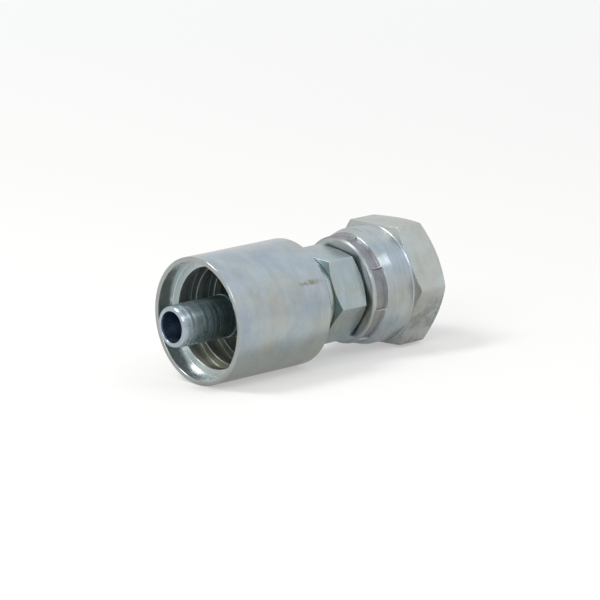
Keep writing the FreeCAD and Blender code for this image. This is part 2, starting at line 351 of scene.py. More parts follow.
class Graph:
    """Adds nodes to a tree and joins them, so that each effect reads as a formula."""

    def __init__(self, tree):
        self.tree = tree

    def feed(self, socket, value):
        """Joins a socket to what comes out of a node, or sets its number or colour."""
        if isinstance(value, bpy.types.Node):
            value = value.outputs[0]
        elif isinstance(value, Term):
            value = value.socket
        if isinstance(value, bpy.types.NodeSocket):
            self.tree.links.new(value, socket)
        elif socket.type == "RGBA" and len(value) == 3:
            socket.default_value = (*value, 1.0)
        else:
            socket.default_value = value

    def node(self, kind, inputs=None, **settings):
        """A node of that kind with its settings, fed by socket name or number."""
        made = self.tree.nodes.new(kind)
        for name, value in settings.items():
            setattr(made, name, value)
        for name, value in (inputs or {}).items():
            self.feed(made.inputs[name], value)
        return made

    def term(self, kind, output, inputs=None, **settings):
        """One output of a new node, by its name or number."""
        return Term(self, self.node(kind, inputs, **settings).outputs[output])

    def terms(self, node):
        """All outputs of a node, by name."""
        return {socket.name: Term(self, socket) for socket in node.outputs}

    def math(self, operation, *values, clamp=False):
        """One step of arithmetic."""
        inputs = dict(enumerate(values))
        return self.term("ShaderNodeMath", 0, inputs, operation=operation, use_clamp=clamp)

    def most(self, first, *others):
        """The largest of the values."""
        for other in others:
            first = self.math("MAXIMUM", first, other)
        return first

    def least(self, first, second):
        """The smaller of two values."""
        return self.math("MINIMUM", first, second)

    def distance(self, first, second):
        """The distance of a point from its parts along two axes."""
        return self.math("SQRT", first * first + second * second)

    def vectors(self, operation, *values, output=0):
        """One step of arithmetic on vectors."""
        inputs = dict(enumerate(values))
        return self.term("ShaderNodeVectorMath", output, inputs, operation=operation)

    def vector(self, x, y, z):
        """A vector from its three parts."""
        return self.term("ShaderNodeCombineXYZ", 0, {"X": x, "Y": y, "Z": z})

    def parts(self, vector):
        """The three parts of a vector."""
        return self.terms(self.node("ShaderNodeSeparateXYZ", {"Vector": vector})).values()

    def ramp(self, value, low, high):
        """A smooth step from 0 at low to 1 at high."""
        inputs = {"Value": value, "From Min": low, "From Max": high}
        return self.term("ShaderNodeMapRange", 0, inputs, interpolation_type="SMOOTHSTEP")

    def line(self, value, low, high, to_low, to_high):
        """A straight change from to_low at low to to_high at high."""
        return self.term("ShaderNodeMapRange", 0, {
            "Value": value, "From Min": low, "From Max": high,
            "To Min": to_low, "To Max": to_high,
        })

    def spread(self, noise, to_low, to_high):
        """A noise stretched to lie between two values."""
        return self.line(noise, NOISE_LOW, NOISE_HIGH, to_low, to_high)

    def between(self, value, low, high, softness):
        """1 where the value is between low and high, and 0 beyond, with soft ends."""
        above = self.ramp(value, low - softness, low + softness)
        return above * self.ramp(value, high + softness, high - softness)

    def noise(self, vector, scale, detail=2.0, roughness=0.5):
        """Cloudy noise from 0 to 1."""
        inputs = {"Vector": vector, "Scale": scale, "Detail": detail, "Roughness": roughness}
        return self.term("ShaderNodeTexNoise", "Fac", inputs)

    def mix(self, factor, first, second, blend="MIX"):
        """Two colours mixed."""
        inputs = {0: factor, 6: first, 7: second}
        return self.term("ShaderNodeMix", 2, inputs, data_type="RGBA", blend_type=blend)

    def cover(self, under, over, mask, strength):
        """A colour laid over another as strongly as the mask and that strength allow."""
        return self.mix(mask * strength, under, over)

    def shade(self, tone, level):
        """A colour made lighter or darker."""
        return self.mix(1.0, tone, self.vector(level, level, level), "MULTIPLY")

    def bump(self, height, distance, **more):
        """Normals bent by a relief of that height."""
        inputs = {"Height": height, "Strength": 1.0, "Distance": distance}
        return self.node("ShaderNodeBump", {**inputs, **more})

    def position(self):
        """Where each vertex is."""
        return self.term("GeometryNodeInputPosition", 0)

    def read(self, name):
        """The number stored at each vertex under that name."""
        return self.term("GeometryNodeInputNamedAttribute", 0, {"Name": name}, data_type="FLOAT")

    def store(self, mesh, name, value, selection=True):
        """The mesh with a number stored at each vertex under that name."""
        return self.node(
            "GeometryNodeStoreNamedAttribute",
            {"Geometry": mesh, "Selection": selection, "Name": name, "Value": value},
            data_type="FLOAT", domain="POINT",
        )


def sockets(tree, direction, rows):
    """Adds named sockets to a tree from rows of (name, kind, default)."""
    for name, kind, default in rows:
        made = tree.interface.new_socket(name, in_out=direction, socket_type="NodeSocket" + kind)
        if default is not None:
            made.default_value = default


# Forms made by geometry nodes


def made_once(name, make):
    """The node group of that name, made when it is first asked for."""
    return bpy.data.node_groups.get(name) or make(name)


def form_tree(name, whole, *plain):
    """A geometry node tree with one whole number and plain numbers to set: (graph, inputs)."""
    tree = bpy.data.node_groups.new(name, "GeometryNodeTree")
    tree.is_modifier = True
    numbers = [(whole, "Int", None)] if whole else []
    numbers += [(row, "Float", None) for row in plain]
    geometry, material = ("Geometry", "Geometry", None), ("Material", "Material", None)
    sockets(tree, "INPUT", [geometry, *numbers, material])
    sockets(tree, "OUTPUT", [geometry])
    graph = Graph(tree)
    return graph, graph.terms(graph.node("NodeGroupInput"))


def end_form(graph, inputs, geometry):
    """Ends a form tree in plain geometry with its material."""
    real = graph.node("GeometryNodeRealizeInstances", {"Geometry": geometry})
    smooth = graph.node("GeometryNodeSetShadeSmooth", {"Geometry": real})
    bend = graph.term("GeometryNodeInputMeshEdgeAngle", "Unsigned Angle")
    crisp = graph.node(
        "GeometryNodeSetShadeSmooth",
        {"Geometry": smooth, "Selection": bend > SHARP_ANGLE, "Shade Smooth": False},
        domain="EDGE",
    )
    coated = {"Geometry": crisp, "Material": inputs["Material"]}
    graph.node("NodeGroupOutput", {"Geometry": graph.node("GeometryNodeSetMaterial", coated)})
    return graph.tree


def swept_grid(graph, inputs, steps):
    """A grid with a column for each point of the outline: (grid, outline point, edge, way along)."""
    outline = inputs["Geometry"]
    points = graph.term("GeometryNodeAttributeDomainSize", 0, {"Geometry": outline})
    grid = graph.node("GeometryNodeMeshGrid", {
        "Size X": 1.0, "Size Y": 1.0,
        "Vertices X": points + 1.0, "Vertices Y": steps + 1.0,
    })
    across, along, _ = graph.parts(graph.position())
    column = graph.math("ROUND", (across + 0.5) * points)
    row = graph.math("FLOORED_MODULO", column, points)

    def sampled(value, kind):
        """A value of the outline at the point that the column stands for."""
        inputs = {"Geometry": outline, "Value": value, "Index": row}
        return graph.node("GeometryNodeSampleIndex", inputs, data_type=kind)

    place = sampled(graph.position(), "FLOAT_VECTOR")
    edge = sampled(graph.read("edge"), "FLOAT")
    return grid.outputs["Mesh"], place, edge, along + 0.5


def moved_to(graph, mesh, position, selection=True):
    """The mesh with its selected vertices moved."""
    inputs = {"Geometry": mesh, "Selection": selection, "Position": position}
    return graph.node("GeometryNodeSetPosition", inputs)


def closed(graph, mesh, position, edge):
    """The grid put in place, with its edge values kept and its seams joined."""
    # the edge values are stored first, because they are read by where a vertex is in the grid
    moved = moved_to(graph, graph.store(mesh, "edge", edge), position)
    inputs = {"Geometry": moved, "Distance": JOIN_DISTANCE}
    return graph.node("GeometryNodeMergeByDistance", inputs)


def on_axis(graph, x, radius, way):
    """The place at that radius and angle about X. Angle 0 faces -Y and a quarter turn faces up."""
    side = radius * graph.math("COSINE", way)
    up = radius * graph.math("SINE", way)
    return graph.vector(x, -side, up)


def about_axis(graph):
    """The (x, radius, angle) of each vertex about X."""
    x, y, z = graph.parts(graph.position())
    return x, graph.distance(y, z), graph.math("ARCTAN2", z, -y)


def lathe_tree(name):
    """Turns a closed outline once about X."""
    graph, inputs = form_tree(name, "Segments")
    mesh, place, edge, along = swept_grid(graph, inputs, inputs["Segments"])
    x, _, radius = graph.parts(place)
    turned = on_axis(graph, x, radius, along * FULL_TURN)
    return end_form(graph, inputs, closed(graph, mesh, turned, edge))


def thread_tree(name):
    """Winds a thread tooth about X. Its ends fade into the wall, and its mouth is cut to a cone."""
    graph, inputs = form_tree(
        name, "Segments", "Turns", "Pitch", "Wall radius", "Run out", "Cone place", "Cone radius",
    )
    mesh, place, edge, along = swept_grid(graph, inputs, inputs["Segments"])
    x, _, radius = graph.parts(place)
    turn = along * inputs["Turns"]
    from_end = graph.least(turn, inputs["Turns"] - turn)
    fade = graph.math("DIVIDE", from_end, inputs["Run out"], clamp=True)
    wound_x = x * fade + turn * inputs["Pitch"]
    wound_radius = (radius - inputs["Wall radius"]) * fade + inputs["Wall radius"]
    cone = wound_x - inputs["Cone place"] + inputs["Cone radius"]
    cut_radius = graph.most(wound_radius, cone)
    wound = on_axis(graph, wound_x, cut_radius, turn * FULL_TURN)
    return end_form(graph, inputs, closed(graph, mesh, wound, edge))


def flats_tree(name):
    """Mills six flats between two places along X. The envelope keeps the turned chamfers."""
    graph, inputs = form_tree(
        name, None, "Across flats", "Turn", "Start", "End", "Softness", "Line width",
        "Line strength",
    )
    x, radius, way = about_axis(graph)
    off = graph.math("FLOORED_MODULO", way - inputs["Turn"], SIXTH) - SIXTH / 2
    half = inputs["Across flats"] / 2.0
    flat = half / graph.math("COSINE", off)
    milled = graph.math("SMOOTH_MIN", radius, flat, inputs["Softness"])
    inside = (x > inputs["Start"]) * (x < inputs["End"])
    # the creases of the flats and the corners between them are rubbed bright
    apart = graph.math("ABSOLUTE", radius - flat)
    crease = 1.0 - graph.ramp(apart, 0.0, inputs["Line width"])
    from_corner = (SIXTH / 2 - graph.math("ABSOLUTE", off)) * flat
    corner = 1.0 - graph.ramp(from_corner, 0.0, inputs["Line width"])
    lines = graph.most(crease, corner * (radius > half)) * inputs["Line strength"]
    rubbed = graph.store(
        inputs["Geometry"], "edge", graph.most(graph.read("edge"), lines), inside,
    )
    # what the mill does not reach stays turned, and is marked for painted shade on the stem's chamfers
    below_flat = graph.ramp(flat - radius, 0.0, CHAMFER_SOFTNESS)
    corner_radius = half / math.cos(SIXTH / 2)
    below_corner = graph.ramp(corner_radius - radius, CORNER_FROM, CORNER_TO)
    marked = graph.store(rubbed, "chamfer", below_flat * below_corner, inside)
    moved = moved_to(graph, marked, on_axis(graph, x, milled, way), inside)
    return end_form(graph, inputs, moved)


def dies_tree(name):
    """Presses a ring of flat-bottomed tracks into a skirt, one to each die, with a ridge between two."""
    graph, inputs = form_tree(
        name, "Dies", "First ridge", "Ridge width", "Floor radius", "Place", "Width", "Shift",
        "Side slope", "Unevenness", "Softness", "Burr",
    )
    x, radius, way = about_axis(graph)
    each = FULL_TURN / inputs["Dies"]
    place = (way - inputs["First ridge"]) / each
    die = graph.math("FLOOR", place)
    within = place - die
    from_ridge = graph.least(within, 1.0 - within) * each * radius
    half_ridge = inputs["Ridge width"] / 2.0
    wobble = graph.noise(graph.position(), DIE_NOISE)
    uneven = (wobble - 0.5) * inputs["Unevenness"]
    # every other die stands a little further from the rim
    odd = graph.math("FLOORED_MODULO", die, 2.0)
    start = inputs["Place"] + (odd * inputs["Shift"] + uneven)
    before = start - x
    after = x - (start + inputs["Width"])
    outside = graph.most(before, after, half_ridge - from_ridge, 0.0)
    track = inputs["Floor radius"] + outside * inputs["Side slope"] + uneven
    pressed = graph.math("SMOOTH_MIN", radius, track, inputs["Softness"])
    # metal that the dies push together stands up as a low burr on the ridge
    middle = 1.0 - graph.ramp(from_ridge, 0.0, half_ridge)
    along = graph.most(before, after) < 0.0
    rough = graph.ramp(wobble, BURR_FROM, BURR_TO) * inputs["Burr"]
    on_skirt = radius > inputs["Floor radius"]
    raised = pressed + middle * along * rough * on_skirt
    mask = graph.ramp(radius - pressed, inputs["Softness"], inputs["Softness"] * 2.0)
    stored = graph.store(inputs["Geometry"], "pressed", mask)
    # a pressed place has no rubbed edge left, but the far rim of each track is rubbed bright
    from_rim = graph.math("ABSOLUTE", after - RIM_MIDDLE)
    rim = (1.0 - graph.ramp(from_rim, RIM_MIDDLE, RIM_FADE)) * (from_ridge > half_ridge)
    rubbed = graph.most(graph.read("edge") * (1.0 - mask), rim)
    cleared = graph.store(stored, "edge", rubbed)
    return end_form(graph, inputs, moved_to(graph, cleared, on_axis(graph, x, raised, way)))


def add_form(piece, name, make, **values):
    """Puts the form tree of that name on a piece and sets its inputs by their names."""
    tree = made_once(name, make)
    modifier = piece.modifiers.new(name, "NODES")
    modifier.node_group = tree
    wanted = {key.replace("_", " "): value for key, value in values.items()}
    for item in tree.interface.items_tree:
        if item.item_type == "SOCKET" and item.in_out == "INPUT" and item.name.lower() in wanted:
            modifier[item.identifier] = wanted.pop(item.name.lower())
    if wanted:
        raise ValueError("the tree " + name + " has no input " + ", ".join(wanted))


def fillet(before, corner, after, size):
    """Points of a round corner between two straight runs, each with its share of edge wear."""
    steps = FEW_STEPS if size < SMALL_ROUNDING else MORE_STEPS
    arrive = (before - corner).normalized()
    leave = (after - corner).normalized()
    opening = arrive.angle(leave)
    run = size / math.tan(opening / 2)
    middle = corner + (arrive + leave).normalized() * (size / math.sin(opening / 2))
    first = corner + arrive * run - middle
    last = corner + leave * run - middle
    swing = first.angle(last)
    points = []
    for step in range(steps + 1):
        part = step / steps
        weight = math.sin((1 - part) * swing), math.sin(part * swing)
        point = middle + (first * weight[0] + last * weight[1]) / math.sin(swing)
        points.append((point, math.sin(math.pi * (WEAR_START + WEAR_STRETCH * part))))
    return points


def outline_object(name, corners, spacing=None):
    """A closed outline of corners (x, radius, rounding) as a mesh of vertices and edges."""
    places = [Vector((x, radius)) for x, radius, _ in corners]
    rows = []
    for number, (_, _, size) in enumerate(corners):
        corner = places[number]
        after = places[(number + 1) % len(places)]
        rows += fillet(places[number - 1], corner, after, size) if size > 0 else [(corner, 0.0)]
    filled = []
    for number, (point, edge) in enumerate(rows):
        following, _ = rows[(number + 1) % len(rows)]
        gap = spacing(point, following) if spacing else 0
        pieces = max(1, math.ceil((following - point).length / gap)) if gap else 1
        filled.append((point, edge))
        filled += [(point.lerp(following, step / pieces), 0.0) for step in range(1, pieces)]
    mesh = bpy.data.meshes.new(name)
    vertices = [(point.x, 0.0, point.y) for point, _ in filled]
    edges = [(number, (number + 1) % len(filled)) for number in range(len(filled))]
    mesh.from_pydata(vertices, edges, [])
    worn = mesh.attributes.new("edge", "FLOAT", "POINT")
    worn.data.foreach_set("value", [edge for _, edge in filled])
    piece = bpy.data.objects.new(name, mesh)
    bpy.context.scene.collection.objects.link(piece)
    return piece


def turned_piece(name, corners, sizes, material, spacing=None):
    """A piece turned from its outline."""
    piece = outline_object(name, corners, spacing)
    add_form(piece, "Turned form", lathe_tree, segments=sizes.segments, material=material)
    return piece


def settle(piece):
    """Turns what the trees make into a plain mesh with even normals, and takes the trees off."""
    weighted = piece.modifiers.new("Even normals", "WEIGHTED_NORMAL")
    weighted.mode = "FACE_AREA"
    weighted.weight = 50
    weighted.keep_sharp = True
    view = bpy.context.evaluated_depsgraph_get()
    mesh = bpy.data.meshes.new_from_object(
        piece.evaluated_get(view), preserve_all_data_layers=True, depsgraph=view,
    )
    piece.modifiers.clear()
    piece.data = mesh
    mesh.name = piece.name
    if not mesh.polygons:
        raise RuntimeError(piece.name + " came out empty")


# Effects that the zinc finishes share


def effect(name, inputs, outputs):
    """A shader node group with its inputs and the names of its outputs: (graph, inputs)."""
    tree = bpy.data.node_groups.new(name, "ShaderNodeTree")
    sockets(tree, "INPUT", [("Vector", "Vector", None), *inputs])
    sockets(tree, "OUTPUT", [(output, "Float", None) for output in outputs])
    graph = Graph(tree)
    return graph, graph.terms(graph.node("NodeGroupInput"))


def ring_coordinates(graph, place):
    """Coordinates that follow a turned surface: (x, radius, angle as a point on a circle)."""
    x, y, z = graph.parts(place)
    return x, graph.distance(y, z), y, z


def turning_marks(name):
    """Fine rings that the lathe tool leaves, broken up around the piece."""
    inputs = [("Rings per metre", "Float", 9000.0), ("Drift", "Float", 60.0)]
    graph, inputs = effect(name, inputs, ("Height", "Streaks"))
    x, radius, y, z = ring_coordinates(graph, inputs["Vector"])
    rings, drift = inputs["Rings per metre"], inputs["Drift"]
    place = graph.vector(x * rings + radius * rings, y * drift, z * drift)
    broad_place = graph.vectors("MULTIPLY", place, (0.13, 1.6, 1.6))
    fine = graph.noise(place, 1.0, detail=3.0, roughness=0.6)
    broad = graph.noise(broad_place, 1.0, detail=3.0, roughness=0.6)
    fine_share, broad_share = 0.6, 0.9
    height = fine * fine_share + broad * broad_share
    graph.node("NodeGroupOutput", {"Height": height, "Streaks": broad})
    return graph.tree


def zinc_clouds(name):
    """Soft patches in a zinc coat, with a fine grain."""
    inputs = [("Patches per metre", "Float", 260.0)]
    graph, inputs = effect(name, inputs, ("Patches", "Grain", "Tint"))
    place, scale = inputs["Vector"], inputs["Patches per metre"]
    grain_scale, tint_scale = 14.0, 0.6
    tint_place = graph.vectors("ADD", place, (0.31, 0.17, 0.23))
    graph.node("NodeGroupOutput", {
        "Patches": graph.noise(place, scale, detail=5.0, roughness=0.62),
        "Grain": graph.noise(place, scale * grain_scale, detail=3.0, roughness=0.6),
        "Tint": graph.noise(tint_place, scale * tint_scale, detail=4.0, roughness=0.6),
    })
    return graph.tree


def handling_scratches(name):
    """Short straight scratches in three directions, and small dents."""
    inputs = [("Amount", "Float", 0.5)]
    graph, inputs = effect(name, inputs, ("Scratches", "Dents"))
    fewest, more, softness = 0.80, 0.12, 0.03
    limit = fewest - inputs["Amount"] * more
    upper = limit + softness
    masks = []
    for turn in ((0.5, 0.3, 0.9), (-0.7, 0.8, -0.4), (1.2, -0.5, 0.35)):
        turned = graph.node("ShaderNodeMapping", {
            "Vector": inputs["Vector"], "Rotation": turn, "Scale": (2600.0, 2600.0, 130.0),
        })
        masks.append(graph.ramp(graph.noise(turned, 1.0, detail=1.0, roughness=0.4), limit, upper))
    dents = graph.noise(inputs["Vector"], 700.0, detail=1.0, roughness=0.4)
    graph.node("NodeGroupOutput", {
        "Scratches": graph.most(*masks), "Dents": graph.ramp(dents, 0.70, 0.80),
    })
    return graph.tree


def shared_effect(graph, name, make, inputs):
    """The outputs of the effect group of that name."""
    tree = made_once(name, make)
    return graph.terms(graph.node("ShaderNodeGroup", inputs, node_tree=tree))


def empty_graph(owner):
    """The node tree of a material or world, with nothing in it."""
    owner.use_nodes = True
    owner.node_tree.nodes.clear()
    return Graph(owner.node_tree)


def zinc(name, base, extra, rings, roughness, ring_height, warmth, grime):
    """A zinc-plated steel finish. The extra step adds one piece's marks: (colour, roughness, relief)."""
    finish = bpy.context.scene.fitting_finish
    material = bpy.data.materials.new(name)
    graph = empty_graph(material)
    place = graph.term("ShaderNodeTexCoord", "Object")
    ringed = {"Vector": place, "Rings per metre": rings}
    marks = shared_effect(graph, "Turning marks", turning_marks, ringed)
    clouds = shared_effect(graph, "Zinc clouds", zinc_clouds, {"Vector": place})
    wear = shared_effect(graph, "Handling scratches", handling_scratches, {"Vector": place})
    edge = graph.term("ShaderNodeAttribute", "Fac", attribute_name="edge")
    patches, grain, tint = clouds["Patches"], clouds["Grain"], clouds["Tint"]

    # colour: the coat with lighter and darker patches, a cool and a warm tint, and grime
    level = graph.spread(patches, 0.92, 1.06) * graph.spread(marks["Streaks"], 0.93, 1.07)
    shown = graph.shade(base, level)
    shown = graph.cover(shown, finish.cool, graph.ramp(tint, 0.50, 0.34), warmth)
    shown = graph.cover(shown, finish.warm, graph.ramp(tint, 0.48, 0.66), warmth)
    shown = graph.cover(shown, finish.grime, graph.ramp(grain, 0.58, 0.74), grime)

    # roughness: satin and a little uneven
    uneven = 0.05
    rough = graph.spread(tint, roughness - uneven, roughness + uneven)
    shown, rough, coarse = extra(graph, place, shown, rough)

    # wear: scratches and edges that are rubbed bright and smooth
    scratch_glint, edge_gloss = 0.25, 0.12
    worn = edge * graph.line(patches, 0.35, 0.6, 0.1, 0.4)
    shown = graph.cover(shown, finish.bright, wear["Scratches"], scratch_glint)
    shown = graph.mix(worn, shown, finish.bright)
    rough = graph.math("SUBTRACT", rough, worn * edge_gloss, clamp=True)

    # relief: rings, grain, the piece's own marks, scratches and dents, on a slow wave
    grain_height, scratch_height, dent_height = 0.25, -0.15, -0.3
    raised = marks["Height"] * ring_height + grain * grain_height + coarse
    cut = wear["Scratches"] * scratch_height + wear["Dents"] * dent_height
    wave = graph.noise(place, 330.0, detail=1.0, roughness=0.4)
    fine_normal = graph.bump(raised + cut, 0.012 * MM)
    normal = graph.bump(wave, 0.05 * MM, Normal=fine_normal)

    # the tool left rings, so gloss is drawn out across them
    _, side, up = graph.parts(place)
    along_rings = graph.node(
        "ShaderNodeVectorTransform", {"Vector": graph.vector(0.0, -up, side)},
        vector_type="VECTOR", convert_from="OBJECT", convert_to="WORLD",
    )
    shader = graph.node("ShaderNodeBsdfPrincipled", {
        "Base Color": shown, "Roughness": rough, "Metallic": 1.0, "Normal": normal,
        "Anisotropic": 0.7, "Anisotropic Rotation": 0.25,
        "Tangent": graph.vectors("NORMALIZE", along_rings),
    })
    graph.node("ShaderNodeOutputMaterial", {"Surface": shader})
    return material


def handover(piece, body, node):
    """The piece stands for its CAD node and rides with its body."""
    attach(piece, body)
    if node:
        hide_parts(node)


# Outlines of the pieces, each in the way that the part is cut


def shell_corners(sizes):
    """The shell's outline, from the mouth along the inside and back along the outside."""
    counterbore = sizes.radius - sizes.lip_wall
    groove = sizes.radius - sizes.groove_wall
    land = groove - sizes.tooth_height
    floor = sizes.length - sizes.back_wall
    corners = [
        (0.0, sizes.radius, sizes.mouth_edge),
        (0.0, counterbore, sizes.mouth_edge),
        (sizes.counterbore, counterbore, sizes.tooth_edge),
    ]
    for tooth in range(sizes.teeth):
        face = sizes.counterbore + tooth * sizes.tooth_pitch
        if tooth > 0:
            corners.append((face, groove, sizes.tooth_edge))
        corners.append((face, land, sizes.tooth_edge))
        if tooth < sizes.teeth - 1:
            corners.append((face + sizes.tooth_land, land, sizes.tooth_edge))
            corners.append((face + sizes.tooth_land + sizes.tooth_slope, groove, 0.0))
    corners += [
        (floor, land, 0.0),
        (floor, sizes.lock_radius, 0.0),
        (sizes.length, sizes.lock_radius, 0.0),
        (sizes.length, sizes.radius, sizes.back_edge),
    ]
    return corners


def hexagon_ends(flats, end_radius, chamfer):
    """Length of a hexagon's chamfer along the axis, up to the corners."""
    return (flats / math.sqrt(3) - end_radius) * math.tan(chamfer)


def stem_corners(sizes):
    """The stem's outline, from the tip along the outside and back through the bore."""
    tip = STEM_LOW.x
    neck_start = SHELL_HIGH.x
    lock_start = neck_start - bpy.context.scene.fitting_shell.back_wall - sizes.lock_gap
    root_start = lock_start - sizes.root_length
    hex_start = neck_start + sizes.neck_length
    hex_end = hex_start + sizes.hexagon
    hex_face = sizes.flats / 2 * sizes.end_share
    hex_corner = sizes.flats / math.sqrt(3) - STEM_CORNER_CUT
    chamfer = hexagon_ends(sizes.flats, hex_face, sizes.chamfer)
    flange_back = NUT_LOW.x + sizes.flange_from_nut
    flange_full = flange_back + sizes.flange - sizes.swivel
    seat_depth = (sizes.seat - sizes.bore) / math.tan(sizes.seat_angle)
    corners = [
        (tip, sizes.bore, BLUNT_EDGE),
        (tip, sizes.tip, sizes.tip_edge),
        (tip + sizes.tip_taper, sizes.nipple, 0.0),
    ]
    for groove in range(sizes.grips):
        middle = tip + sizes.first_grip + groove * sizes.grip_pitch
        half = sizes.grip_width / 2
        corners += [
            (middle - half - GROOVE_SIDE, sizes.nipple, 0.0),
            (middle - half, sizes.nipple, 0.0),
            (middle, sizes.nipple - sizes.grip_depth, 0.0),
            (middle + half, sizes.nipple, 0.0),
            (middle + half + GROOVE_SIDE, sizes.nipple, 0.0),
        ]
    collar = sizes.collar_place
    relief = sizes.neck - sizes.relief_depth
    relief_start = hex_start - sizes.relief_width
    return corners + [
        (collar, sizes.nipple, 0.0),
        (collar, sizes.nipple + sizes.collar_height, COLLAR_EDGE),
        (collar + sizes.collar_width, sizes.nipple, 0.0),
        (root_start, sizes.nipple, 0.0),
        (root_start, sizes.root, BLUNT_EDGE),
        (lock_start, sizes.root, 0.0),
        (lock_start, sizes.lock, 0.0),
        (neck_start, sizes.lock, 0.0),
        (neck_start, sizes.neck, NECK_EDGE),
        (relief_start, sizes.neck, FINE_EDGE),
        (relief_start, relief, 0.0),
        (hex_start, relief, 0.0),
        (hex_start, hex_face, 0.0),
        (hex_start + chamfer, hex_corner, 0.0),
        (hex_end - chamfer, hex_corner, 0.0),
        (hex_end, hex_face, 0.0),
        (hex_end, sizes.swivel, 0.0),
        (flange_back, sizes.swivel, 0.0),
        (flange_full, sizes.flange, FINE_EDGE),
        (STEM_HIGH.x, sizes.flange, SOFT_EDGE),
        (STEM_HIGH.x, sizes.seat, FINE_EDGE),
        (STEM_HIGH.x - seat_depth, sizes.bore, FINE_EDGE),
    ]


def nut_corners(sizes, thread):
    """The nut's outline, from the back rim along the outside and back through the bore."""
    back, front = NUT_LOW.x, NUT_HIGH.x
    hex_start = back + sizes.hexagon_from_back
    front_face = sizes.flats / 2 * sizes.front_share
    envelope = sizes.flats / math.sqrt(3) - sizes.corner_cut
    first = hexagon_ends(sizes.flats, sizes.body, sizes.back_chamfer)
    last = hexagon_ends(sizes.flats, front_face, sizes.front_chamfer)
    mouth_depth = sizes.mouth - thread.outer
    return [
        (back, sizes.lip, BLUNT_EDGE),
        (back, sizes.rim, sizes.rim_edge),
        (back + sizes.rim_slope, sizes.skirt, 0.0),
        (back + sizes.skirt_length, sizes.skirt, SKIRT_BEND),
        (back + sizes.body_start, sizes.body, SHOULDER_BEND),
        (hex_start, sizes.body, HEXAGON_BEND),
        (hex_start + first, envelope, BLUNT_EDGE),
        (front - last, envelope, SOFT_EDGE),
        (front, front_face, FINE_EDGE),
        (front, sizes.mouth, MOUTH_EDGE),
        (front - mouth_depth, thread.outer, 0.0),
        (front - sizes.chamber_end + thread.outer - sizes.chamber, thread.outer, 0.0),
        (front - sizes.chamber_end, sizes.chamber, 0.0),
        (back + sizes.lip_length + sizes.chamber - sizes.lip, sizes.chamber, 0.0),
        (back + sizes.lip_length, sizes.lip, 0.0),
    ]


# Marks that each piece adds to the shared finish


# Widths over which the marks fade
SOFT = 0.02 * MM
SOFTER = 0.03 * MM

# How far in the lip's painted shade ends and the counterbore's painted light starts, and the height of a
# tooth's top, which gets less painted shade
LIP_END = 0.1 * MM
WALL_START = 0.2 * MM
LAND_HEIGHT = 0.1 * MM

# The nipple's painted shade grows over this way into the shell, and its rings start behind the tip
NIPPLE_SHADE_FROM = -4.0 * MM
NIPPLE_SHADE_TO = 4.0 * MM
RINGS_FROM = 0.15 * MM
RINGS_TO = 0.35 * MM

# From the nut's back face: the rubbed rim, and where the milled flats start
RIM_START = 0.12 * MM
RIM_END = 0.8 * MM
FLATS_FROM = 7.7 * MM
FLATS_TO = 8.1 * MM

# Middle of the stain on the shell, found on the photo's outline of the shell. It is drawn out
# along the shell, and noise tears its rim.
STAIN_MIDDLE = Vector((15.6, -8.80, 4.72)) * MM
STAIN_STRETCH = (0.22, 1.0, 1.0)
STAIN_TEAR = 1.6 * MM
STAIN_RIM = 1.42 * MM
STAIN_CORE = 0.8 * MM


def ring_noise(graph, place, across, around, roughness):
    """Noise drawn out around the axis, by its scale across the rings and around them."""
    drawn = graph.vectors("MULTIPLY", place, (across, around, around))
    return graph.noise(drawn, 1.0, detail=3.0, roughness=roughness)


def shell_marks(graph, place, shown, rough):
    """Painted light in the counterbore and on its step, painted shade on the lip, between the teeth and
    low outside, painted light low inside, and the brown streak by the shell's back edge.
    """
    finish = bpy.context.scene.fitting_finish
    sizes = bpy.context.scene.fitting_shell
    x, radius, _, z = ring_coordinates(graph, place)
    wide = sizes.radius - sizes.lip_wall + 2 * SOFT
    step_place = sizes.counterbore
    floor = sizes.length - sizes.back_wall
    land_radius = sizes.radius - sizes.groove_wall - sizes.tooth_height
    hollow = graph.between(radius, 0.0, wide, SOFT)
    lip = graph.between(x, -1.0 * MM, LIP_END, SOFT)
    wall = graph.between(x, WALL_START, step_place - SOFT, SOFT) * hollow
    step = graph.between(x, step_place - SOFT, step_place + SOFT, SOFT) * hollow
    inside = graph.between(x, step_place + 3 * SOFT, floor + SOFT, SOFT) * hollow
    on_land = graph.between(radius, 0.0, land_radius + LAND_HEIGHT, SOFTER)

    # the lower half outside is darker and warmer as painted shade; inside, painted shade darkens the
    # hollow between the teeth, less on their tops, and painted light makes the lower inside lighter and
    # straw-coloured
    tone = graph.mix(on_land, finish.inside, finish.land)
    shade_and_light_inside = graph.cover(tone, finish.low, graph.ramp(z, 0.0, -6.0 * MM), 0.8)
    lit_step_tone = graph.cover(finish.step, finish.low, graph.ramp(z, -1.0 * MM, -6.0 * MM), 0.25)
    for over, mask, strength in (
        # painted shade low on the outside of the shell
        (finish.under, graph.ramp(z, -1.0 * MM, -7.0 * MM), 0.6),
        # painted shade on the lip round the mouth
        (finish.lip, lip, 0.8),
        # painted light in the counterbore and on the step behind it
        (finish.mouth, wall, 0.9),
        (lit_step_tone, step, 0.9),
        # painted shade and painted light between the ring teeth
        (shade_and_light_inside, inside, 0.85),
    ):
        shown = graph.cover(shown, over, mask, strength)
    hollow_rough, inside_rough = 0.08, 0.15
    rough = rough + hollow * hollow_rough + inside * inside_rough

    offset = graph.vectors("SUBTRACT", place, STAIN_MIDDLE)
    drawn = graph.vectors("MULTIPLY", offset, STAIN_STRETCH)
    away = graph.vectors("LENGTH", drawn, output="Value")
    torn = graph.noise(place, 2000.0, detail=4.0, roughness=0.75) * STAIN_TEAR
    stained = graph.ramp(away + torn, STAIN_RIM, STAIN_CORE)
    return graph.cover(shown, finish.stain, stained, 0.9), rough, 0.0


